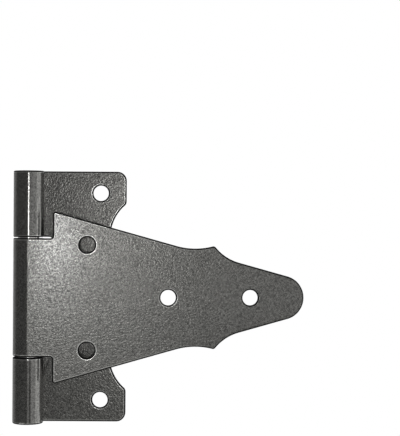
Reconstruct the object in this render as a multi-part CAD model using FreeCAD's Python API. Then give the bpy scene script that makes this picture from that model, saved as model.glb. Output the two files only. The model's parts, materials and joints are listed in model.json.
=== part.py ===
import FreeCAD, Part
import math
import os

from FreeCAD import Vector

# A tee hinge, closed, in millimetres: a tee plate, a tapered strap and the pin they share.
# Each leaf is one piece of sheet, stamped to its outline and rolled round the pin at one end.
# The pin stands along Z. The back of the tee plate lies in the plane y = 0 and its front
# looks along -Y. The origin is midway between the tee plate's two screw holes.

# Sheet, pin and barrel
SHEET = 1.6
PIN_DIAMETER = 7.94
PIN_CLEARANCE = 0.08
PIN_RECESS = 0.6
PIN_CHAMFER = 0.5
BARREL_HEIGHT = 92.8
STRAP_KNUCKLE = 43.3
KNUCKLE_GAP = 0.4
SEAM_GAP = 0.15

# Tee plate, measured out from the pin axis and up from the middle
TEE_WIDTH = 35.7
TEE_NOTCH = 8.1
TEE_WAIST = 29.7
TEE_EAR_HEIGHT = 12.0
TEE_CORNER_RADIUS = 3.4
TEE_FOOT_RADIUS = 2.0
TEE_SCOOP_RADIUS = 16.0
TEE_HOLE_OUT = 26.2
TEE_HOLE_FROM_END = 8.05

# Strap, measured the same way
STRAP_LENGTH = 101.6
SHOULDER_OUT = 8.9
SHOULDER_UP = 31.6
SHOULDER_RADIUS = 1.0
NOTCH_RADIUS = 1.0
TAPER = 15.5
CUSP_OUT = 68.3
CUSP_UP = 19.1
CUSP_RADIUS = 1.0
WAIST_RADIUS = 26.0
SCOOP_RADIUS = 17.0
TIP_RADIUS = 8.2
ROOT_HOLE_OUT = 21.4
ROOT_HOLE_UP = 19.3
MIDDLE_HOLE_OUT = 51.2
TIP_HOLE_OUT = 81.6
TIP_LIFT = 0.05

# Both leaves
SCREW_HOLE = 5.7
EDGE_BREAK = 0.4

# Sizes that follow
PIN_RADIUS = PIN_DIAMETER / 2
BORE_RADIUS = PIN_RADIUS + PIN_CLEARANCE
KNUCKLE_RADIUS = BORE_RADIUS + SHEET
FACES = (BORE_RADIUS, KNUCKLE_RADIUS)
HALF_BARREL = BARREL_HEIGHT / 2
HALF_NECK = STRAP_KNUCKLE / 2
HALF_NOTCH = HALF_NECK + KNUCKLE_GAP
TEE_EAR_FOOT = HALF_BARREL - TEE_EAR_HEIGHT
TEE_HOLE_UP = HALF_BARREL - TEE_HOLE_FROM_END

MIDDLE = Vector(0, 0, 0)
UP = Vector(0, 0, 1)
DOWN = Vector(0, 0, -1)
BACK = Vector(0, 1, 0)
TOLERANCE = 1e-6


# Points and outlines

def plan(out, up):
    """A point of an outline: out from the pin axis and up from the middle of the hinge."""
    return Vector(out, 0, up)


def flipped(point):
    """The same point on the lower half of the hinge."""
    return plan(point.x, -point.z)


def scoop(cusp, on_line, along, radius):
    """A hollow arc from a cusp that runs smoothly into a straight edge.

    The edge passes through on_line and leaves the cusp behind it along the unit vector
    along. Returns a point halfway round the arc and the point where the edge begins.
    """
    reach = cusp - on_line
    foot = on_line + along * reach.dot(along)
    outward = (cusp - foot).normalize()
    height = (cusp - foot).Length
    start = foot + along * math.sqrt(2 * radius * height - height ** 2)
    centre = start + outward * radius
    halfway = ((cusp - centre) + (start - centre)).normalize()
    return centre + halfway * radius, start


def edges_along(steps):
    """The edges through a list of steps: each is a point, or a halfway point and an end."""
    edges = []
    here = steps[0]
    for step in steps[1:]:
        if isinstance(step, tuple):
            halfway, there = step
            edges.append(Part.Arc(here, halfway, there).toShape())
        else:
            there = step
            edges.append(Part.LineSegment(here, there).toShape())
        here = there
    return edges, here


def across_middle(point):
    """The straight edge from a point down to its twin, where it isn't on the middle itself."""
    if abs(point.z) < TOLERANCE:
        return []
    return [Part.LineSegment(point, flipped(point)).toShape()]


def outline(steps):
    """A leaf's closed outline from the steps of its upper half."""
    upper, end = edges_along(steps)
    lower = [edge.mirror(MIDDLE, UP) for edge in reversed(upper)]
    return Part.Wire(upper + across_middle(end) + lower + across_middle(steps[0]))


# Sheet metal

def flat(wire, holes):
    """The flat of a leaf, its outer face at the back of the barrel, with its screw holes."""
    sheet = Part.Face(wire).extrude(BACK * SHEET)
    for out, up in holes:
        sheet = sheet.cut(Part.makeCylinder(SCREW_HOLE / 2, SHEET, plan(out, up), BACK))
    sheet.translate(BACK * BORE_RADIUS)
    return sheet.removeSplitter()


def round_corners(sheet, corners):
    """Rounds the outline's corners: each entry is a point of the plan and its radius."""
    for point, radius in corners:
        for corner in (point, flipped(point)):
            edges = [edge for edge in sheet.Edges if runs_through(edge, corner)]
            sheet = sheet.makeFillet(radius, edges)
    return sheet


def runs_through(edge, point):
    """True for an edge that runs straight through the sheet at a point of the plan."""
    ends = [vertex.Point for vertex in edge.Vertexes]
    across = [math.hypot(end.x - point.x, end.z - point.z) for end in ends]
    return len(ends) == 2 and max(across) < TOLERANCE


def ring_point(radius, angle):
    """A point of the barrel's round section at an angle from the leaves' direction."""
    return Vector(radius * math.cos(angle), radius * math.sin(angle), 0)


def knuckle(low, high):
    """A roll of sheet round the bore that stops just short of its own leaf."""
    start = math.pi / 2
    end = 2 * math.pi + math.asin((BORE_RADIUS - SEAM_GAP) / KNUCKLE_RADIUS)
    rings = [
        [ring_point(radius, angle) for angle in (start, (start + end) / 2, end)]
        for radius in (KNUCKLE_RADIUS, BORE_RADIUS)
    ]
    outer, inner = rings
    section = Part.Wire([
        Part.Arc(*outer).toShape(),
        Part.LineSegment(outer[2], inner[2]).toShape(),
        Part.Arc(inner[2], inner[1], inner[0]).toShape(),
        Part.LineSegment(inner[0], outer[0]).toShape(),
    ])
    roll = Part.Face(section).extrude(UP * (high - low))
    roll.translate(UP * low)
    return roll


def borders_flat(points):
    """True where points of an edge border a flat face of the sheet, clear of its bend."""
    outs = [point.x for point in points]
    in_face = any(all(abs(point.y - face) < TOLERANCE for point in points) for face in FACES)
    return in_face and min(outs) > -TOLERANCE and max(outs) > TOLERANCE


def borders_roll(points):
    """True where points of an edge lie level round the pin, on a face of the rolled sheet."""
    ups = [point.z for point in points]
    outs = [math.hypot(point.x, point.y) for point in points]
    around = any(all(abs(out - face) < TOLERANCE for out in outs) for face in FACES)
    return around and max(ups) - min(ups) < TOLERANCE


def break_edges(leaf):
    """Breaks the sharp border of both faces of the sheet, round its holes and its rolls too."""
    borders = []
    for edge in leaf.Edges:
        halfway = edge.valueAt((edge.FirstParameter + edge.LastParameter) / 2)
        points = [vertex.Point for vertex in edge.Vertexes] + [halfway]
        if borders_flat(points) or borders_roll(points):
            borders.append(edge)
    return leaf.makeChamfer(EDGE_BREAK, borders)


# The three pieces, each about the pin axis

def tee_plate():
    """The tee plate: two ears joined by a waist, with a knuckle at each end."""
    notch = plan(TEE_NOTCH, HALF_NOTCH)
    corner = plan(TEE_WIDTH, HALF_BARREL)
    foot = plan(TEE_WIDTH, TEE_EAR_FOOT)
    hollow, waist = scoop(foot, plan(TEE_WAIST, 0), DOWN, TEE_SCOOP_RADIUS)
    wire = outline([
        notch,
        plan(0, HALF_NOTCH),
        plan(0, HALF_BARREL),
        corner,
        foot,
        (hollow, waist),
    ])
    sheet = flat(wire, [(TEE_HOLE_OUT, TEE_HOLE_UP), (TEE_HOLE_OUT, -TEE_HOLE_UP)])
    sheet = round_corners(sheet, [
        (corner, TEE_CORNER_RADIUS),
        (foot, TEE_FOOT_RADIUS),
        (notch, NOTCH_RADIUS),
    ])
    leaf = sheet.fuse([knuckle(HALF_NOTCH, HALF_BARREL), knuckle(-HALF_BARREL, -HALF_NOTCH)])
    return break_edges(leaf.removeSplitter())


def strap_leaf():
    """The strap, lying flat against the front of the barrel before it is folded to rest."""
    neck = plan(SHOULDER_OUT, HALF_NECK)
    shoulder = plan(SHOULDER_OUT, SHOULDER_UP)
    cusp = plan(CUSP_OUT, CUSP_UP)
    tip = plan(STRAP_LENGTH, 0)
    tip_centre = plan(STRAP_LENGTH - TIP_RADIUS, 0)
    taper = math.radians(TAPER)
    along = plan(math.cos(taper), -math.sin(taper))
    tip_start = tip_centre + plan(math.sin(taper), math.cos(taper)) * TIP_RADIUS
    tip_turn = (math.pi / 2 - taper) / 2
    tip_halfway = tip_centre + plan(math.cos(tip_turn), math.sin(tip_turn)) * TIP_RADIUS
    waist_hollow, waist = scoop(cusp, shoulder, along * -1, WAIST_RADIUS)
    nose_hollow, nose = scoop(cusp, tip_start, along, SCOOP_RADIUS)
    wire = outline([
        plan(0, HALF_NECK),
        neck,
        shoulder,
        waist,
        (waist_hollow, cusp),
        (nose_hollow, nose),
        tip_start,
        (tip_halfway, tip),
    ])
    sheet = flat(wire, [
        (ROOT_HOLE_OUT, ROOT_HOLE_UP),
        (ROOT_HOLE_OUT, -ROOT_HOLE_UP),
        (MIDDLE_HOLE_OUT, 0),
        (TIP_HOLE_OUT, 0),
    ])
    sheet = round_corners(sheet, [
        (neck, NOTCH_RADIUS),
        (shoulder, SHOULDER_RADIUS),
        (cusp, CUSP_RADIUS),
    ])
    leaf = sheet.fuse(knuckle(-HALF_NECK, HALF_NECK))
    return break_edges(leaf.removeSplitter()).mirror(MIDDLE, BACK)


def hinge_pin():
    """The plain rod inside the barrel, its ends just below the ends of the knuckles."""
    length = BARREL_HEIGHT - 2 * PIN_RECESS
    rod = Part.makeCylinder(PIN_RADIUS, length, plan(0, -length / 2), UP)
    ends = [edge for edge in rod.Edges if isinstance(edge.Curve, Part.Circle)]
    return rod.makeChamfer(PIN_CHAMFER, ends)


def rest_fold():
    """Angle, in degrees, at which the strap's tip comes down to the tee plate's back."""
    drop = KNUCKLE_RADIUS - TIP_LIFT
    reach = math.hypot(STRAP_LENGTH, BORE_RADIUS)
    return math.degrees(math.asin(drop / reach) + math.atan2(BORE_RADIUS, STRAP_LENGTH))


# The closed hinge in its own frame

def hinge():
    """Every piece by name, placed with the origin midway between the tee plate's holes."""
    strap = strap_leaf()
    strap.rotate(MIDDLE, UP, rest_fold())
    pieces = {"tee_plate": tee_plate(), "strap_leaf": strap, "hinge_pin": hinge_pin()}
    for piece in pieces.values():
        piece.translate(Vector(-TEE_HOLE_OUT, -KNUCKLE_RADIUS, 0))
    return pieces


os.makedirs("parts", exist_ok=True)
for name, piece in hinge().items():
    piece.exportStep("parts/" + name + ".step")
    print(name, len(piece.Solids), "solid", round(piece.Volume, 1), "mm3", piece.isValid())
print("rest fold", round(rest_fold(), 3), "degrees")
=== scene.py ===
import json
import math

import bmesh
import bpy
from bpy.props import FloatProperty, FloatVectorProperty, IntProperty, PointerProperty
from mathutils import Matrix, Vector


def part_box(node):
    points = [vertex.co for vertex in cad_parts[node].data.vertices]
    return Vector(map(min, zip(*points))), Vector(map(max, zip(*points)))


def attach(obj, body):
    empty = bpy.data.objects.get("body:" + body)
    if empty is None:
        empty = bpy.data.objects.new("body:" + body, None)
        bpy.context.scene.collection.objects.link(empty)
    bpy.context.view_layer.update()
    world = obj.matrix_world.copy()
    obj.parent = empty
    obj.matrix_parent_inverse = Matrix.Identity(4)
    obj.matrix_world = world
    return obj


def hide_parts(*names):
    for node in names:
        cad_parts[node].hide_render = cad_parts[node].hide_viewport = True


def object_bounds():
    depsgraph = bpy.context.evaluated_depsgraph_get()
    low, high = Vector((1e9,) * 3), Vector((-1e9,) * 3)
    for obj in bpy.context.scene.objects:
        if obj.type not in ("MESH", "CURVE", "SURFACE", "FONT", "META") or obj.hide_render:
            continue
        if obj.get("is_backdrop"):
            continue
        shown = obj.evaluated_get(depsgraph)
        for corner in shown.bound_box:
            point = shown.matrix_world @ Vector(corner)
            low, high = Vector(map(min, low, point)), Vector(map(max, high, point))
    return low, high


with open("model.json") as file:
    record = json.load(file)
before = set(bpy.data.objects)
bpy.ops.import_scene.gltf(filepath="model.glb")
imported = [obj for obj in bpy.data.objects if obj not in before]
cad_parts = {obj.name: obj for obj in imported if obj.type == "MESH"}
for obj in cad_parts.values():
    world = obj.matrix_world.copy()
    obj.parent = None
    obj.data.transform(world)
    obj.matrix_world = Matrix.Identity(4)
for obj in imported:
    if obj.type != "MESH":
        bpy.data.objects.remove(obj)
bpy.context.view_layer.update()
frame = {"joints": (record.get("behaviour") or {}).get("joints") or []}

# A closed tee hinge in hammered pewter paint. Both leaves are sheet metal. Each starts as the
# flat outer face of its blank, which is rolled round the pin by a spin. It is then given its
# thickness, drawn down towards its borders and rounded along them. All lengths are in metres,
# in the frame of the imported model.

bl_info = {
    "name": "Tee Hinge",
    "version": (1, 0, 0),
    "blender": (4, 5, 0),
    "location": "3D View > Sidebar > Tee Hinge",
    "description": "Builds a rolled and stamped tee hinge with its hammered paint and a pale studio",
    "category": "Object",
}

PIN_AXIS = Vector(frame["joints"][0]["pos_m"])
PLATE_LOW, PLATE_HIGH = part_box("tee_plate")
PIN_LOW, PIN_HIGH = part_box("hinge_pin")

MERGE = 1e-6                 # points nearer than this are one point
LEAD_IN = -0.003             # a blank is drawn from this far behind the pin, then cut off at the pin
FILL_SCALE = 1000            # the fill works in millimetres, where its own tolerances are small enough
FIRST_RING = 0.4             # the ring next to the rounding is this share of the others' width
SHARP = math.radians(60)     # edges that turn more than this are rounded

HOLLOW_STEPS = 20            # faces along the hollow under an ear
CUSP_STEPS = 16              # faces along each hollow beside a cusp
TIP_STEPS = 24               # faces along half of the round tip
CORNER_STEPS = 8             # faces round a corner of a blank
HOLE_STEPS = 48              # faces round a screw hole
FLAT_WEIGHT = 90             # how far the large flat faces decide the shading beside them

LAMP_DISTANCE = 0.6
LAMPS = (
    # power's name, degrees right of the camera, degrees up, distance, width, height
    ("key", 1, 3, LAMP_DISTANCE, 0.03, 0.09),
    ("glow", -0.5, 0, LAMP_DISTANCE, 0.06, 0.11),
    ("tip_glow", 18, 0, LAMP_DISTANCE, 0.1, 0.14),
    ("fill", 5, -6, LAMP_DISTANCE, 0.12, 0.3),
    ("side", 45, -4, LAMP_DISTANCE, 0.44, 0.3),
    ("far_side", 87, -4, LAMP_DISTANCE, 0.5, 0.3),
    ("rear", 180, 15, LAMP_DISTANCE, 0.5, 0.5),
    ("low", -45, -25, 0.45, 0.3, 0.12),
)
FLOOR_RADIUS = 1.1
FLOOR_MIDDLE = 0.02
CAMERA_RIGHT = 0.0368
CAMERA_UP = 0.0294
SENSOR_WIDTH = 36.0

MIX_FACTOR, MIX_FIRST, MIX_SECOND = 0, 2, 3          # a Mix node's sockets for numbers
COLOUR_FIRST, COLOUR_SECOND, COLOUR_MIXED = 6, 7, 2  # and for colours


def length(name, description, default):
    """A size of the hinge that the sidebar can change."""
    return FloatProperty(
        name=name, description=description, default=default, min=0.0,
        precision=5, subtype="DISTANCE", unit="LENGTH",
    )


def share(name, description, default):
    """A strength between nothing and full."""
    return FloatProperty(
        name=name, description=description, default=default, min=0.0, max=1.0, subtype="FACTOR",
    )


def colour(name, description, default):
    """A linear colour."""
    return FloatVectorProperty(
        name=name, description=description, default=default, min=0.0, max=1.0,
        size=3, subtype="COLOR",
    )


def power(name, description, default):
    """The power of a lamp."""
    return FloatProperty(name=name, description=description, default=default, min=0.0, unit="POWER")


def angle(name, description, degrees):
    """An angle, given in degrees."""
    return FloatProperty(
        name=name, description=description, default=math.radians(degrees), subtype="ANGLE", unit="ROTATION",
    )


def count(name, description, default, least):
    """A number of faces."""
    return IntProperty(name=name, description=description, default=default, min=least)


# Sizes and colours

class SheetSizes(bpy.types.PropertyGroup):
    """The sheet that both leaves are stamped and rolled from."""
    thickness: length("Thickness", "Thickness of the sheet", 0.0016)
    knuckle_radius: length("Knuckle radius", "Outside radius of the rolled knuckles", 0.00565)
    seam_gap: length("Seam gap", "Gap between the end of a roll and its own leaf", 0.00015)
    edge_radius: length("Edge radius", "Rounding of the cut edges", 0.0004)
    edge_steps: count("Edge steps", "Faces across a rounded edge", 6, 1)
    drawn_width: length("Drawn width", "Width of the border that the punch draws down", 0.0008)
    drawn_depth: length("Drawn depth", "How far the punch draws the border down", 0.0001)
    drawn_steps: count("Drawn steps", "Faces across the drawn border", 4, 1)
    roll_steps: count("Roll steps", "Faces round a knuckle", 48, 12)
    screw_hole: length("Screw hole", "Diameter of the screw holes", 0.0057)


class TeePlateSizes(bpy.types.PropertyGroup):
    """The rear leaf, measured out from the pin and up from the middle."""
    width: length("Width", "From the pin to the outer edge of the ears", 0.0357)
    barrel: length("Barrel", "Height of the whole barrel", PLATE_HIGH.z - PLATE_LOW.z)
    notch_out: length("Notch depth", "From the pin to the bottom of the middle notch", 0.0081)
    notch_up: length("Notch height", "Half the height of the middle notch", 0.02205)
    notch_radius: length("Notch radius", "Rounding in the corners of the notch", 0.001)
    waist_out: length("Waist", "From the pin to the edge behind the strap", 0.0297)
    ear_height: length("Ear height", "Straight outer edge of an ear, with its corner", 0.012)
    corner_radius: length("Corner radius", "Rounding of the ears' outer corners", 0.0034)
    foot_radius: length("Foot radius", "Rounding where the ears turn in", 0.002)
    hollow_radius: length("Hollow radius", "Radius of the hollow under each ear", 0.016)
    hole_out: length("Hole distance", "From the pin to the screw holes", 0.0262)
    hole_from_end: length("Hole from end", "From the end of the barrel to a screw hole", 0.00805)


class StrapSizes(bpy.types.PropertyGroup):
    """The front leaf, measured out from the pin and up from the middle."""
    reach: length("Length", "From the pin to the tip", 0.1016)
    neck_up: length("Neck height", "Half the height of the neck and its knuckle", 0.02165)
    neck_radius: length("Neck radius", "Rounding in the corners beside the neck", 0.001)
    shoulder_out: length("Shoulder distance", "From the pin to the shoulders", 0.0089)
    shoulder_up: length("Shoulder height", "Half the height across the shoulders", 0.0316)
    shoulder_radius: length("Shoulder radius", "Rounding of the shoulders", 0.001)
    taper: angle("Taper", "Slope of the strap's edges", 15.5)
    cusp_out: length("Cusp distance", "From the pin to the cusps", 0.0683)
    cusp_up: length("Cusp height", "Half the height across the cusps", 0.0191)
    cusp_radius: length("Cusp radius", "Rounding of the cusps", 0.001)
    waist_radius: length("Waist radius", "Radius of the hollow before a cusp", 0.026)
    nose_radius: length("Nose radius", "Radius of the hollow past a cusp", 0.017)
    tip_radius: length("Tip radius", "Radius of the round tip", 0.0082)
    root_hole_out: length("Root hole distance", "From the pin to the pair of holes at the root", 0.0214)
    root_hole_up: length("Root hole height", "Half the distance between the pair", 0.0193)
    middle_hole_out: length("Middle hole distance", "From the pin to the middle hole", 0.0512)
    tip_hole_out: length("Tip hole distance", "From the pin to the hole at the tip", 0.0816)
    tip_lift: length("Tip lift", "Room left under the tip when the hinge is closed", 0.00005)


class PinSizes(bpy.types.PropertyGroup):
    """The rod inside the barrel."""
    diameter: length("Diameter", "Diameter of the rod", PIN_HIGH.x - PIN_LOW.x)
    height: length("Length", "Length of the rod", PIN_HIGH.z - PIN_LOW.z)
    chamfer: length("Chamfer", "Chamfer at both ends", 0.0005)
    steps: count("Steps", "Faces round the rod", 72, 12)


class PaintLook(bpy.types.PropertyGroup):
    """Hammered pewter paint on both leaves."""
    dark: colour("Dark flake", "Colour in the bottom of the dimples", (0.1, 0.099, 0.094))
    light: colour("Light flake", "Colour on the crests between dimples", (0.28, 0.278, 0.262))
    # Painted highlight: a near-white colour laid on the borders where the lamps would glint on the rounded
    # edges.
    painted_highlight: colour("Rubbed border", "Colour where paint is thin on the borders", (0.85, 0.85, 0.82))
    # Painted shade: a near-black colour on the cut walls, which draws dark outlines round the leaves.
    wall: colour("Cut wall", "Colour of the paint on the cut walls of the sheet", (0.012, 0.012, 0.0115))
    dimple: length("Dimple size", "Width of a dimple", 0.0006)
    depth: length("Dimple depth", "Depth of a dimple", 0.000078)
    stretch: share("Stretch on the roll", "How far the dimples flatten where the sheet is rolled", 0.8)
    # How strongly each leaf's borders carry the painted highlight.
    plate_highlight: share("Rub of the tee plate", "How far the tee plate's borders show brighter", 0.6)
    strap_highlight: share("Rub of the strap", "How far the strap's borders show brighter", 1.0)
    # The painted highlight fades along the leaf, away from the pin, as the lamps' reflection does.
    highlight_start: length(
        "Rub start", "Distance from the pin where the borders' brightness starts to fade", 0.03,
    )
    highlight_end: length("Rub end", "Distance from the pin where the borders' brightness has faded", 0.075)
    metallic: share("Flake content", "How metallic the paint looks", 0.78)
    clump: length("Flake clumps", "Width of the clumps of flake", 0.0006)
    gloss: share("Clear resin", "Weight of the clear resin on the crests between dimples", 0.7)
    film: share("Thin resin", "Weight of the clear resin in the bottom of the dimples", 0.2)


class SteelLook(bpy.types.PropertyGroup):
    """Drawn steel of the pin."""
    tone: colour("Steel", "Colour of the drawn steel", (0.88, 0.87, 0.85))
    shade: colour("Oiled steel", "Colour of the darker drawing streaks", (0.6, 0.59, 0.57))
    streak: length("Streak width", "Width of a drawing streak", 0.0003)


class StudioLook(bpy.types.PropertyGroup):
    """The pale floor, the lights and the camera."""
    floor: colour("Floor", "Colour of the floor", (0.86, 0.86, 0.85))
    lift: share("Floor lift", "How far the floor is lit up for the camera, as a white sweep is", 1.0)
    floor_drop: length("Floor drop", "How far the floor lies below the hinge", 0.2)
    front: share("Front fill", "Light of the room behind the camera", 0.105)
    back: share("Back fill", "Light of the room behind the hinge", 0.34)
    key: power("Key light", "Power of the compact lamp beside the camera", 0.135)
    glow: power("Glow light", "Power of the soft panel round the key light", 0.054)
    tip_glow: power("Tip glow", "Power of the soft panel that the strap's nose mirrors", 0.027)
    fill: power("Fill light", "Power of the soft panel below the camera", 0.043)
    side: power("Side light", "Power of the soft panel on the right", 0.23)
    far_side: power("Far side light", "Power of the soft panel beside the hinge", 0.48)
    rear: power("Rear light", "Power of the soft panel behind the hinge", 0.8)
    low: power("Low light", "Power of the soft panel low on the left, for views from the right", 0.1)
    distance: length("Camera distance", "From the camera to the plane of the tee plate's back", 0.498)
    focal: FloatProperty(
        name="Focal length", description="Focal length of the lens in millimetres", default=110.4,
        min=1.0, unit="CAMERA",
    )
    turn: angle("Camera roll", "Turn of the camera about its view", 0.35)


class HingeSettings(bpy.types.PropertyGroup):
    """Everything that the tee hinge is built from."""
    sheet: PointerProperty(type=SheetSizes)
    plate: PointerProperty(type=TeePlateSizes)
    strap: PointerProperty(type=StrapSizes)
    pin: PointerProperty(type=PinSizes)
    paint: PointerProperty(type=PaintLook)
    steel: PointerProperty(type=SteelLook)
    studio: PointerProperty(type=StudioLook)


# Blanks

def plan(out, up):
    """A point of a blank: out from the pin and up from the middle of the hinge."""
    return Vector((out, 0.0, up))


def hollow(cusp, on_line, along, radius):
    """Where a hollow arc that leaves a cusp meets a straight edge, and the arc's centre."""
    foot = on_line + along * (cusp - on_line).dot(along)
    height = (cusp - foot).length
    start = foot + along * math.sqrt(2 * radius * height - height ** 2)
    return start, start + (cusp - foot).normalized() * radius


def draw_line(bm, vert, point):
    """Extrudes the end of an outline to a point."""
    end = bmesh.ops.extrude_vert_indiv(bm, verts=[vert])["verts"][0]
    end.co = point
    return end


def draw_arc(bm, vert, centre, point, steps):
    """Spins the end of an outline about a centre until it reaches a point."""
    start = vert.co - centre
    turn = start.angle(point - centre)
    axis = start.cross(point - centre).normalized()
    spun = bmesh.ops.spin(
        bm, geom=[vert], cent=centre, axis=axis, dvec=(0, 0, 0), angle=turn, steps=steps,
        use_merge=False, use_normal_flip=False, use_duplicate=False,
    )
    end = spun["geom_last"][0]
    end.co = point
    return end


def close_blank(bm):
    """Mirrors the upper half of an outline to the lower half and closes it with a face."""
    bmesh.ops.mirror(
        bm, geom=list(bm.verts) + list(bm.edges), matrix=Matrix.Identity(4), merge_dist=MERGE, axis="Z",
    )
    ends = [vert for vert in bm.verts if len(vert.link_edges) == 1]
    while ends:
        vert = ends.pop()
        twin = min(ends, key=lambda other: abs(other.co.x - vert.co.x) + abs(other.co.z + vert.co.z))
        ends.remove(twin)
        bm.edges.new((vert, twin))
    bmesh.ops.edgeloop_fill(bm, edges=list(bm.edges))


def round_corner(bm, point, radius):
    """Rounds a corner of the outline and its twin on the lower half."""
    for place in (point, plan(point.x, -point.z)):
        vert = min(bm.verts, key=lambda other: (other.co - place).length)
        sides = [edge.other_vert(vert).co - vert.co for edge in vert.link_edges]
        bmesh.ops.bevel(
            bm, geom=[vert], offset=radius / math.tan(sides[0].angle(sides[1]) / 2),
            offset_type="OFFSET", affect="VERTICES", segments=CORNER_STEPS, profile=0.5, material=-1,
        )


def border_rings(sheet):
    """How deep inside the border each ring of faces ends, from the rounding to the flat."""
    width = (sheet.drawn_width - sheet.edge_radius) / (sheet.drawn_steps - 1 + FIRST_RING)
    return [sheet.edge_radius + width * (step + FIRST_RING) for step in range(sheet.drawn_steps)]


def line_borders(bm, sheet):
    """Lays rings of faces inside the blank's outline and cuts the blank off at its root."""
    depth = bm.verts.layers.float.new("depth")
    blank = list(bm.faces)
    before = 0.0
    for ring in border_rings(sheet):
        bmesh.ops.inset_region(
            bm, faces=blank, thickness=ring - before, use_even_offset=True, use_boundary=True,
        )
        for vert in blank[0].verts:
            vert[depth] = ring
        before = ring
    bmesh.ops.delete(bm, geom=blank, context="FACES_ONLY")
    bmesh.ops.bisect_plane(
        bm, geom=list(bm.verts) + list(bm.edges) + list(bm.faces), dist=MERGE,
        plane_co=(0, 0, 0), plane_no=(1, 0, 0), clear_inner=True,
    )
    ends = [vert for vert in bm.verts if abs(vert.co.x) < MERGE and vert[depth] > before - MERGE]
    ends.sort(key=lambda vert: vert.co.z)
    for pair in zip(ends[0::2], ends[1::2]):
        bm.edges.new(pair)


def punch(bm, sheet, holes):
    """Opens round screw holes in the blank, with rings round them, and fills the sheet between."""
    depth = bm.verts.layers.float["depth"]
    rings = border_rings(sheet)
    for hole in holes:
        line = []
        for ring in (0.0, *rings):
            vert = bm.verts.new(hole + plan(sheet.screw_hole / 2 + ring, 0))
            vert[depth] = ring
            line.append(vert)
        edges = [bm.edges.new(pair) for pair in zip(line, line[1:])]
        bmesh.ops.spin(
            bm, geom=line + edges, cent=hole, axis=(0, 1, 0), dvec=(0, 0, 0), angle=2 * math.pi,
            steps=HOLE_STEPS, use_merge=True, use_normal_flip=False, use_duplicate=False,
        )
    inner = [edge for edge in bm.edges if all(vert[depth] > rings[-1] - MERGE for vert in edge.verts)]
    bmesh.ops.scale(bm, verts=list(bm.verts), vec=(FILL_SCALE,) * 3)
    bmesh.ops.triangle_fill(bm, edges=inner, use_beauty=True, use_dissolve=False, normal=(0, 1, 0))
    bmesh.ops.scale(bm, verts=list(bm.verts), vec=(1 / FILL_SCALE,) * 3)


def form_leaf(bm, sheet, look, rub):
    """Rolls a blank's root round the pin, thickens the sheet inwards and rounds its borders."""
    bore = sheet.knuckle_radius - sheet.thickness
    bmesh.ops.translate(bm, verts=list(bm.verts), vec=(0, sheet.knuckle_radius, 0))
    root = [edge for edge in bm.edges if all(abs(vert.co.x) < MERGE for vert in edge.verts)]
    corners = {vert for edge in root for vert in edge.verts}
    turn = math.radians(270) + math.asin((bore - sheet.seam_gap) / sheet.knuckle_radius)
    bmesh.ops.spin(
        bm, geom=root + list(corners), cent=(0, 0, 0), axis=(0, 0, 1), dvec=(0, 0, 0), angle=turn,
        steps=sheet.roll_steps, use_merge=False, use_normal_flip=False, use_duplicate=False,
    )
    bmesh.ops.recalc_face_normals(bm, faces=list(bm.faces))
    widest = max(bm.faces, key=lambda face: face.calc_area() * abs(face.normal.y))
    if widest.normal.y < 0:
        bmesh.ops.reverse_faces(bm, faces=list(bm.faces))
    bmesh.ops.solidify(bm, geom=list(bm.faces), thickness=sheet.thickness)
    draw_borders(bm, sheet)
    sharp = [edge for edge in bm.edges if edge.calc_face_angle() > SHARP]
    bmesh.ops.bevel(
        bm, geom=sharp, offset=sheet.edge_radius, offset_type="OFFSET", affect="EDGES",
        segments=sheet.edge_steps, profile=0.5, material=-1, loop_slide=False, clamp_overlap=False,
    )
    mark_borders(bm, sheet, look, rub)


def across_sheet(point, sheet):
    """The direction through the sheet at a point: from the pin on the roll, straight on the flat."""
    on_flat = point.x > -MERGE and point.y > sheet.knuckle_radius - sheet.thickness - MERGE
    return Vector((0, 1, 0)) if on_flat else Vector((point.x, point.y, 0)).normalized()


def draw_borders(bm, sheet):
    """Draws both faces of the sheet down towards its borders, as the punch does."""
    depth = bm.verts.layers.float["depth"]
    middle = sheet.knuckle_radius - sheet.thickness / 2
    deepest = border_rings(sheet)[-1]
    for vert in bm.verts:
        across = across_sheet(vert.co, sheet)
        drawn = sheet.drawn_depth * (1 - vert[depth] / deepest) ** 2
        vert.co += across * (drawn if vert.co.dot(across) < middle else -drawn)
    bm.normal_update()


def mark_borders(bm, sheet, look, rub):
    """Marks the surface by its border: 0 inside, 0.5 where the rounding starts, 1 on a cut wall.

    The mark called roll is 1 on the rolled part of the sheet. The third mark is how strongly the borders
    carry a painted highlight, which fades along the leaf, away from the pin.
    """
    border = bm.verts.layers.float.new("border")
    roll = bm.verts.layers.float.new("roll")
    painted_highlight = bm.verts.layers.float.new("rub")
    depth = bm.verts.layers.float["depth"]
    deepest = border_rings(sheet)[-1]
    steepest = math.atan(2 * sheet.drawn_depth / deepest)
    bm.normal_update()
    for vert in bm.verts:
        across = across_sheet(vert.co, sheet)
        tilt = math.acos(min(1.0, abs(vert.normal.dot(across))))
        near = (deepest - vert[depth]) / (deepest - sheet.edge_radius)
        vert[border] = 0.5 + tilt / math.pi if tilt > steepest else 0.5 * min(1.0, near)
        vert[roll] = 0.0 if across.y == 1.0 else 1.0
        fade = (look.highlight_end - vert.co.x) / (look.highlight_end - look.highlight_start)
        vert[painted_highlight] = rub * max(0.0, min(1.0, fade))


def finish_piece(bm, name, body, node, material):
    """Turns a bmesh into a smooth piece that stands for its node and rides on a body."""
    mesh = bpy.data.meshes.new(name)
    for face in bm.faces:
        face.smooth = True
    bm.to_mesh(mesh)
    bm.free()
    mesh.materials.append(material)
    piece = bpy.data.objects.new(name, mesh)
    bpy.context.scene.collection.objects.link(piece)
    weighted = piece.modifiers.new("Flat faces stay flat", "WEIGHTED_NORMAL")
    weighted.weight = FLAT_WEIGHT
    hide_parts(node)
    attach(piece, body)


# Shader groups

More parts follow.
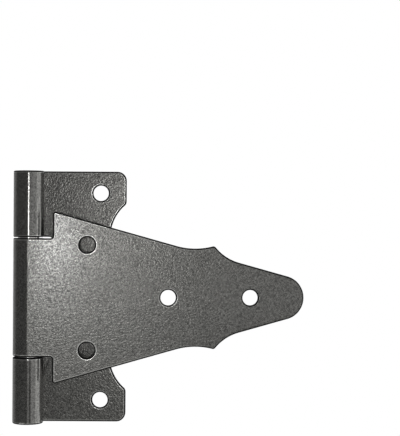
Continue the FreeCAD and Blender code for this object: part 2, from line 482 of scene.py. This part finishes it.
def new_group(name, inputs, outputs):
    """A shader node group with named sockets: each is a name, a type and a default."""
    tree = bpy.data.node_groups.new(name, "ShaderNodeTree")
    for label, kind, default in inputs:
        socket = tree.interface.new_socket(name=label, in_out="INPUT", socket_type=kind)
        socket.default_value = default
    for label, kind in outputs:
        tree.interface.new_socket(name=label, in_out="OUTPUT", socket_type=kind)
    return tree, tree.nodes.new("NodeGroupInput"), tree.nodes.new("NodeGroupOutput")


def node(tree, kind, values=(), **settings):
    """Adds a node, sets its fields, and sets or links its inputs from (socket, value) pairs."""
    made = tree.nodes.new(kind)
    for field, value in settings.items():
        setattr(made, field, value)
    for socket, value in values:
        if isinstance(value, bpy.types.NodeSocket):
            tree.links.new(value, made.inputs[socket])
        else:
            made.inputs[socket].default_value = value
    return made


def math_node(tree, operation, first, second):
    """One operation on two numbers, each a value or a socket."""
    return node(tree, "ShaderNodeMath", [(0, first), (1, second)], operation=operation).outputs[0]


def map_range(tree, value, low, high, new_low=0.0, new_high=1.0):
    """Stretches a range of a number to a new range and keeps it inside."""
    return node(tree, "ShaderNodeMapRange", [
        ("Value", value), ("From Min", low), ("From Max", high), ("To Min", new_low), ("To Max", new_high),
    ]).outputs[0]


def mix_number(tree, mask, first, second):
    """Mixes two numbers by a mask."""
    return node(tree, "ShaderNodeMix", [
        (MIX_FACTOR, mask), (MIX_FIRST, first), (MIX_SECOND, second),
    ], data_type="FLOAT").outputs[0]


def mix_colour(tree, mask, first, second):
    """Mixes two colours by a mask, each a colour or a socket."""
    first, second = [
        tint if isinstance(tint, bpy.types.NodeSocket) else (*tint, 1.0) for tint in (first, second)
    ]
    return node(tree, "ShaderNodeMix", [
        (MIX_FACTOR, mask), (COLOUR_FIRST, first), (COLOUR_SECOND, second),
    ], data_type="RGBA").outputs[COLOUR_MIXED]


def noise(tree, vector, density, detail, roughness):
    """Cloudy noise, as a number round one half."""
    return node(tree, "ShaderNodeTexNoise", [
        ("Vector", vector), ("Scale", density), ("Detail", detail), ("Roughness", roughness),
    ]).outputs["Fac"]


def hammered_group():
    """Dimples as sprayed hammered paint draws them: round hollows between soft crests."""
    tree, given, result = new_group(
        "Hammered dimples",
        [("Vector", "NodeSocketVector", (0, 0, 0)), ("Size", "NodeSocketFloat", 0.001),
         ("Irregularity", "NodeSocketFloat", 0.5), ("Calm", "NodeSocketFloat", 0.0)],
        [("Height", "NodeSocketFloat"), ("Crest", "NodeSocketFloat")],
    )
    density = math_node(tree, "DIVIDE", 1.0, given.outputs["Size"])
    wander = noise(tree, given.outputs["Vector"], density, 2.0, 0.5)
    cells = node(tree, "ShaderNodeTexVoronoi", [
        ("Vector", given.outputs["Vector"]), ("Scale", density), ("Smoothness", 0.6), ("Randomness", 1.0),
    ], feature="SMOOTH_F1")
    blend = mix_number(tree, given.outputs["Irregularity"], cells.outputs["Distance"], wander)
    centred = math_node(tree, "SUBTRACT", blend, 0.45)
    lively = math_node(tree, "SUBTRACT", 1.0, given.outputs["Calm"])
    height = math_node(tree, "MULTIPLY", centred, lively)
    tree.links.new(height, result.inputs["Height"])
    tree.links.new(map_range(tree, blend, 0.3, 0.62), result.inputs["Crest"])
    return tree


def mottle_group():
    """Slow cloudy variation over a surface, centred on one half."""
    tree, given, result = new_group(
        "Cloudy mottle",
        [("Vector", "NodeSocketVector", (0, 0, 0)), ("Size", "NodeSocketFloat", 0.01),
         ("Contrast", "NodeSocketFloat", 0.5)],
        [("Mask", "NodeSocketFloat")],
    )
    density = math_node(tree, "DIVIDE", 1.0, given.outputs["Size"])
    clouds = noise(tree, given.outputs["Vector"], density, 3.0, 0.55)
    centred = math_node(tree, "SUBTRACT", clouds, 0.5)
    swing = math_node(tree, "MULTIPLY", centred, given.outputs["Contrast"])
    mask = node(tree, "ShaderNodeMath", [(0, swing), (1, 0.5)], operation="ADD", use_clamp=True)
    tree.links.new(mask.outputs[0], result.inputs["Mask"])
    return tree


def border_group():
    """Masks for a border: smooth where the sheet is drawn down, where a painted highlight goes, and the cut
    wall, where painted shade goes.
    """
    tree, given, result = new_group(
        "Border paint",
        [("Vector", "NodeSocketVector", (0, 0, 0)), ("Border", "NodeSocketFloat", 0.0),
         ("Size", "NodeSocketFloat", 0.002), ("Amount", "NodeSocketFloat", 0.5)],
        [("Thin", "NodeSocketFloat"), ("Wall", "NodeSocketFloat"), ("Smooth", "NodeSocketFloat")],
    )
    density = math_node(tree, "DIVIDE", 1.0, given.outputs["Size"])
    breaks = noise(tree, given.outputs["Vector"], density, 4.0, 0.6)
    patchy = map_range(tree, breaks, 0.3, 0.65, 0.5, 1.0)
    start = map_range(tree, given.outputs["Border"], 0.01, 0.1)
    wall = map_range(tree, given.outputs["Border"], 0.34, 0.46)
    smooth = map_range(tree, given.outputs["Border"], 0.05, 0.35)
    # The band inside the rounding is where the painted highlight goes.
    band = math_node(tree, "SUBTRACT", start, wall)
    thin = math_node(tree, "MULTIPLY", band, patchy)
    scaled = math_node(tree, "MULTIPLY", thin, given.outputs["Amount"])
    tree.links.new(scaled, result.inputs["Thin"])
    # The cut wall's mask, where the painted shade goes.
    tree.links.new(wall, result.inputs["Wall"])
    tree.links.new(smooth, result.inputs["Smooth"])
    return tree


def use_group(tree, name, build, values):
    """Places a shared group in a material with its own values, and builds it for its first use."""
    group = bpy.data.node_groups.get(name) or build()
    return node(tree, "ShaderNodeGroup", values, node_tree=group)


def mottle(tree, vector, size, contrast):
    """The shared cloudy mottle, as a mask."""
    return use_group(tree, "Cloudy mottle", mottle_group, [
        ("Vector", vector), ("Size", size), ("Contrast", contrast),
    ]).outputs["Mask"]


def mark(tree, name):
    """A mark that the mesh carries."""
    return node(
        tree, "ShaderNodeAttribute", attribute_type="GEOMETRY", attribute_name=name,
    ).outputs["Fac"]


def new_material(name):
    """An empty material with its shader and output."""
    material = bpy.data.materials.new(name)
    material.use_nodes = True
    tree = material.node_tree
    tree.nodes.clear()
    shader = tree.nodes.new("ShaderNodeBsdfPrincipled")
    output = tree.nodes.new("ShaderNodeOutputMaterial")
    tree.links.new(shader.outputs[0], output.inputs["Surface"])
    place = tree.nodes.new("ShaderNodeTexCoord").outputs["Object"]
    return material, tree, shader, place


# Finishes

def hammered_pewter(look):
    """The dark metallic paint of both leaves, dimpled all over, with a painted highlight on the borders and
    painted shade on the cut walls.
    """
    material = bpy.data.materials.get("hammered_pewter")
    if material:
        return material
    material, tree, shader, place = new_material("hammered_pewter")
    roll = mark(tree, "roll")
    border = use_group(tree, "Border paint", border_group, [
        ("Vector", place), ("Border", mark(tree, "border")),
        ("Size", 0.0015), ("Amount", mark(tree, "rub")),
    ])
    wall = border.outputs["Wall"]
    bare = math_node(tree, "SUBTRACT", 1.0, wall)

    # dimples, calm on the roll and the borders
    stretched = math_node(tree, "MULTIPLY", roll, look.stretch)
    calm = math_node(tree, "MAXIMUM", stretched, border.outputs["Smooth"])
    dimples = use_group(tree, "Hammered dimples", hammered_group, [
        ("Vector", place), ("Size", look.dimple), ("Irregularity", 0.5), ("Calm", calm),
    ])
    bump = node(tree, "ShaderNodeBump", [
        ("Height", dimples.outputs["Height"]), ("Strength", 1.0), ("Distance", look.depth),
    ])
    tree.links.new(bump.outputs[0], shader.inputs["Normal"])

    # flakes, brighter on the crests, with a painted highlight on the borders and near-black painted shade
    # on the cut wall
    clumps = mottle(tree, place, look.clump, 4.0)
    grain = mix_number(tree, 0.75, dimples.outputs["Crest"], clumps)
    flake = mix_colour(tree, grain, look.dark, look.light)
    highlighted = mix_colour(tree, border.outputs["Thin"], flake, look.painted_highlight)
    # Painted shade: the cut wall takes a near-black colour.
    tint = mix_colour(tree, wall, highlighted, look.wall)
    tree.links.new(tint, shader.inputs["Base Color"])
    tree.links.new(math_node(tree, "MULTIPLY", bare, look.metallic), shader.inputs["Metallic"])

    # satin on the flats, half as rough on the roll, and dull on the cut wall
    sheen = map_range(tree, mottle(tree, place, 0.014, 1.2), 0.0, 1.0, 0.24, 0.29)
    polished = math_node(tree, "SUBTRACT", 1.0, math_node(tree, "MULTIPLY", roll, 0.5))
    satin = math_node(tree, "MULTIPLY", sheen, polished)
    dull = math_node(tree, "MULTIPLY", wall, 0.7)
    tree.links.new(math_node(tree, "MAXIMUM", satin, dull), shader.inputs["Roughness"])

    # clear resin, thin in the dimples and full on the roll and the borders
    film = map_range(tree, grain, 0.0, 1.0, look.film, look.gloss)
    full = math_node(tree, "MAXIMUM", roll, border.outputs["Smooth"])
    resin = math_node(tree, "MAXIMUM", film, full)
    tree.links.new(math_node(tree, "MULTIPLY", resin, bare), shader.inputs["Coat Weight"])
    shader.inputs["Coat Roughness"].default_value = 0.12
    shader.inputs["Specular IOR Level"].default_value = 0.2
    return material


def drawn_steel(look):
    """Bare drawn steel with fine streaks along the rod."""
    material, tree, shader, place = new_material("drawn_steel")
    stretched = node(tree, "ShaderNodeMapping", [("Vector", place), ("Scale", (1.0, 1.0, 0.05))])
    streaks = mottle(tree, stretched.outputs[0], look.streak, 1.8)
    tint = mix_colour(tree, streaks, look.shade, look.tone)
    tree.links.new(tint, shader.inputs["Base Color"])
    sheen = map_range(tree, mottle(tree, place, 0.006, 1.5), 0.0, 1.0, 0.16, 0.28)
    tree.links.new(sheen, shader.inputs["Roughness"])
    bump = node(tree, "ShaderNodeBump", [("Height", streaks), ("Strength", 1.0), ("Distance", 0.000004)])
    tree.links.new(bump.outputs[0], shader.inputs["Normal"])
    shader.inputs["Metallic"].default_value = 1.0
    return material


def pale_floor(look):
    """Matt pale floor with a faint cloudiness."""
    material, tree, shader, place = new_material("pale_floor")
    deeper = [channel * 0.97 for channel in look.floor]
    tint = mix_colour(tree, mottle(tree, place, 0.4, 0.8), deeper, look.floor)
    tree.links.new(tint, shader.inputs["Base Color"])
    seen = node(tree, "ShaderNodeLightPath")
    lit = mix_colour(tree, seen.outputs["Is Camera Ray"], (0.0, 0.0, 0.0), tint)
    tree.links.new(lit, shader.inputs["Emission Color"])
    shader.inputs["Emission Strength"].default_value = look.lift
    shader.inputs["Roughness"].default_value = 0.9
    return material


# Pieces

class TEEHINGE_OT_tee_plate(bpy.types.Operator):
    """Build the rear leaf: two ears joined by a waist, with a rolled knuckle at each end"""
    bl_idname = "tee_hinge.tee_plate"
    bl_label = "Tee plate"

    def execute(self, context):
        size = context.scene.tee_hinge.plate
        sheet = context.scene.tee_hinge.sheet
        look = context.scene.tee_hinge.paint
        top = size.barrel / 2
        notch = plan(size.notch_out, size.notch_up)
        corner = plan(size.width, top)
        foot = plan(size.width, top - size.ear_height)
        waist, centre = hollow(foot, plan(size.waist_out, 0), plan(0, -1), size.hollow_radius)
        bm = bmesh.new()
        end = bm.verts.new(notch)
        for point in (plan(LEAD_IN, size.notch_up), plan(LEAD_IN, top), corner, foot):
            end = draw_line(bm, end, point)
        end = draw_arc(bm, end, centre, waist, HOLLOW_STEPS)
        close_blank(bm)
        round_corner(bm, corner, size.corner_radius)
        round_corner(bm, foot, size.foot_radius)
        round_corner(bm, notch, size.notch_radius)
        hole_up = top - size.hole_from_end
        holes = [plan(size.hole_out, hole_up), plan(size.hole_out, -hole_up)]
        line_borders(bm, sheet)
        punch(bm, sheet, holes)
        form_leaf(bm, sheet, look, look.plate_highlight)
        bmesh.ops.translate(bm, verts=list(bm.verts), vec=PIN_AXIS)
        finish_piece(bm, "painted_tee_plate", "tee", "tee_plate", hammered_pewter(look))
        return {"FINISHED"}


class TEEHINGE_OT_strap(bpy.types.Operator):
    """Build the front leaf: a neck with its knuckle, shoulders, a long taper, cusps and a round tip"""
    bl_idname = "tee_hinge.strap"
    bl_label = "Strap"

    def execute(self, context):
        size = context.scene.tee_hinge.strap
        sheet = context.scene.tee_hinge.sheet
        look = context.scene.tee_hinge.paint
        neck = plan(size.shoulder_out, size.neck_up)
        shoulder = plan(size.shoulder_out, size.shoulder_up)
        cusp = plan(size.cusp_out, size.cusp_up)
        tip_centre = plan(size.reach - size.tip_radius, 0)
        along = plan(math.cos(size.taper), -math.sin(size.taper))
        tip_start = tip_centre + plan(math.sin(size.taper), math.cos(size.taper)) * size.tip_radius
        waist, waist_centre = hollow(cusp, shoulder, -along, size.waist_radius)
        nose, nose_centre = hollow(cusp, tip_start, along, size.nose_radius)
        bm = bmesh.new()
        end = bm.verts.new(plan(LEAD_IN, size.neck_up))
        for point in (neck, shoulder, waist):
            end = draw_line(bm, end, point)
        end = draw_arc(bm, end, waist_centre, cusp, CUSP_STEPS)
        end = draw_arc(bm, end, nose_centre, nose, CUSP_STEPS)
        end = draw_line(bm, end, tip_start)
        end = draw_arc(bm, end, tip_centre, plan(size.reach, 0), TIP_STEPS)
        close_blank(bm)
        round_corner(bm, neck, size.neck_radius)
        round_corner(bm, shoulder, size.shoulder_radius)
        round_corner(bm, cusp, size.cusp_radius)
        holes = [
            plan(size.root_hole_out, size.root_hole_up),
            plan(size.root_hole_out, -size.root_hole_up),
            plan(size.middle_hole_out, 0),
            plan(size.tip_hole_out, 0),
        ]
        line_borders(bm, sheet)
        punch(bm, sheet, holes)
        form_leaf(bm, sheet, look, look.strap_highlight)
        bore = sheet.knuckle_radius - sheet.thickness
        reach = math.hypot(size.reach, bore)
        fold = math.asin((sheet.knuckle_radius - size.tip_lift) / reach) + math.atan2(bore, size.reach)
        for turn, axis in ((math.pi, "X"), (fold, "Z")):
            bmesh.ops.rotate(
                bm, verts=list(bm.verts), cent=(0, 0, 0), matrix=Matrix.Rotation(turn, 3, axis),
            )
        bmesh.ops.translate(bm, verts=list(bm.verts), vec=PIN_AXIS)
        finish_piece(bm, "painted_strap", "strap", "strap_leaf", hammered_pewter(look))
        return {"FINISHED"}


class TEEHINGE_OT_pin(bpy.types.Operator):
    """Build the pin: a plain drawn rod with a chamfer at both ends"""
    bl_idname = "tee_hinge.pin"
    bl_label = "Pin"

    def execute(self, context):
        size = context.scene.tee_hinge.pin
        radius = size.diameter / 2
        half = size.height / 2
        bm = bmesh.new()
        end = bm.verts.new(plan(0, -half))
        for point in (
            plan(radius - size.chamfer, -half),
            plan(radius, -half + size.chamfer),
            plan(radius, half - size.chamfer),
            plan(radius - size.chamfer, half),
            plan(0, half),
        ):
            end = draw_line(bm, end, point)
        bmesh.ops.spin(
            bm, geom=list(bm.verts) + list(bm.edges), cent=(0, 0, 0), axis=(0, 0, 1), dvec=(0, 0, 0),
            angle=2 * math.pi, steps=size.steps, use_merge=True, use_normal_flip=False, use_duplicate=False,
        )
        bmesh.ops.remove_doubles(bm, verts=list(bm.verts), dist=MERGE)
        bmesh.ops.recalc_face_normals(bm, faces=list(bm.faces))
        bmesh.ops.translate(bm, verts=list(bm.verts), vec=PIN_AXIS)
        steel = drawn_steel(context.scene.tee_hinge.steel)
        finish_piece(bm, "drawn_pin", "tee", "hinge_pin", steel)
        return {"FINISHED"}


# Studio

def add_panel_light(name, place, target, width, height, watts):
    """A soft rectangular lamp that looks at a point."""
    lamp = bpy.data.lights.new(name, "AREA")
    lamp.shape = "RECTANGLE"
    lamp.size = width
    lamp.size_y = height
    lamp.energy = watts
    holder = bpy.data.objects.new(name, lamp)
    bpy.context.scene.collection.objects.link(holder)
    holder.visible_camera = False
    holder.location = place
    holder.rotation_euler = (target - place).to_track_quat("-Z", "Y").to_euler()


def round_the_hinge(azimuth, elevation, distance):
    """A place seen from the hinge: degrees to the right of the camera and up, and metres away."""
    across = math.radians(azimuth)
    rise = math.radians(elevation)
    level = distance * math.cos(rise)
    return Vector((level * math.sin(across), -level * math.cos(across), distance * math.sin(rise)))


class TEEHINGE_OT_studio(bpy.types.Operator):
    """Set the pale floor, the soft lights, the room and the camera"""
    bl_idname = "tee_hinge.studio"
    bl_label = "Studio"

    def execute(self, context):
        look = context.scene.tee_hinge.studio
        low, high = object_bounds()
        middle = (Vector(low) + Vector(high)) / 2
        self.floor(look, low)
        self.room(look)
        for name, azimuth, elevation, distance, width, height in LAMPS:
            place = middle + round_the_hinge(azimuth, elevation, distance)
            add_panel_light(name.replace("_", " "), place, middle, width, height, getattr(look, name))
        self.camera(look)
        return {"FINISHED"}

    def floor(self, look, low):
        """A round pale floor below the hinge."""
        bm = bmesh.new()
        bmesh.ops.create_circle(
            bm, cap_ends=True, segments=96, radius=FLOOR_RADIUS,
            matrix=Matrix.Translation((FLOOR_MIDDLE, 0, low[2] - look.floor_drop)),
        )
        mesh = bpy.data.meshes.new("floor")
        bm.to_mesh(mesh)
        bm.free()
        mesh.materials.append(pale_floor(look))
        floor = bpy.data.objects.new("floor", mesh)
        bpy.context.scene.collection.objects.link(floor)
        floor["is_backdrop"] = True

    def room(self, look):
        """A room that is darker in front than behind, and white for the camera."""
        world = bpy.data.worlds.new("room")
        world.use_nodes = True
        tree = world.node_tree
        tree.nodes.clear()
        way = node(tree, "ShaderNodeTexCoord")
        parts = node(tree, "ShaderNodeSeparateXYZ", [(0, way.outputs["Generated"])])
        walls = map_range(tree, parts.outputs["Y"], 0.0, 0.5, look.front, look.back)
        seen = node(tree, "ShaderNodeLightPath").outputs["Is Camera Ray"]
        level = mix_number(tree, seen, walls, 1.0)
        shade = node(tree, "ShaderNodeBackground", [("Strength", level)])
        output = node(tree, "ShaderNodeOutputWorld")
        tree.links.new(shade.outputs[0], output.inputs["Surface"])
        shade.inputs["Color"].default_value = (1.0, 1.0, 1.0, 1.0)
        bpy.context.scene.world = world
        bpy.context.scene.view_settings.view_transform = "Standard"

    def camera(self, look):
        """A camera square to the tee plate, at the photograph's distance."""
        lens = bpy.data.cameras.new("camera")
        lens.lens = look.focal
        lens.sensor_width = SENSOR_WIDTH
        lens.clip_start = 0.01
        lens.clip_end = 20.0
        holder = bpy.data.objects.new("camera", lens)
        bpy.context.scene.collection.objects.link(holder)
        holder.location = (CAMERA_RIGHT, -look.distance, CAMERA_UP)
        holder.rotation_euler = (math.pi / 2, -look.turn, 0.0)
        bpy.context.scene.camera = holder


class TEEHINGE_PT_sidebar(bpy.types.Panel):
    """Sizes, finishes and building steps of the tee hinge"""
    bl_idname = "TEEHINGE_PT_sidebar"
    bl_label = "Tee Hinge"
    bl_space_type = "VIEW_3D"
    bl_region_type = "UI"
    bl_category = "Tee Hinge"

    def draw(self, context):
        settings = context.scene.tee_hinge
        for step in STEPS:
            self.layout.operator(step.bl_idname)
        for name in HingeSettings.__annotations__:
            box = self.layout.box()
            box.label(text=name.capitalize())
            group = getattr(settings, name)
            for field in group.__annotations__:
                box.prop(group, field)


STEPS = (TEEHINGE_OT_tee_plate, TEEHINGE_OT_strap, TEEHINGE_OT_pin, TEEHINGE_OT_studio)
GROUPS = (SheetSizes, TeePlateSizes, StrapSizes, PinSizes, PaintLook, SteelLook, StudioLook, HingeSettings)
CLASSES = GROUPS + STEPS + (TEEHINGE_PT_sidebar,)


def register():
    """Adds the classes and the hinge's settings to Blender."""
    for cls in CLASSES:
        bpy.utils.register_class(cls)
    bpy.types.Scene.tee_hinge = PointerProperty(type=HingeSettings)


def unregister():
    """Takes the settings and the classes out again."""
    del bpy.types.Scene.tee_hinge
    for cls in reversed(CLASSES):
        bpy.utils.unregister_class(cls)


def main():
    """Builds the hinge and its studio."""
    register()
    bpy.ops.tee_hinge.tee_plate()
    bpy.ops.tee_hinge.strap()
    bpy.ops.tee_hinge.pin()
    bpy.ops.tee_hinge.studio()


if __name__ == "__main__":
    main()
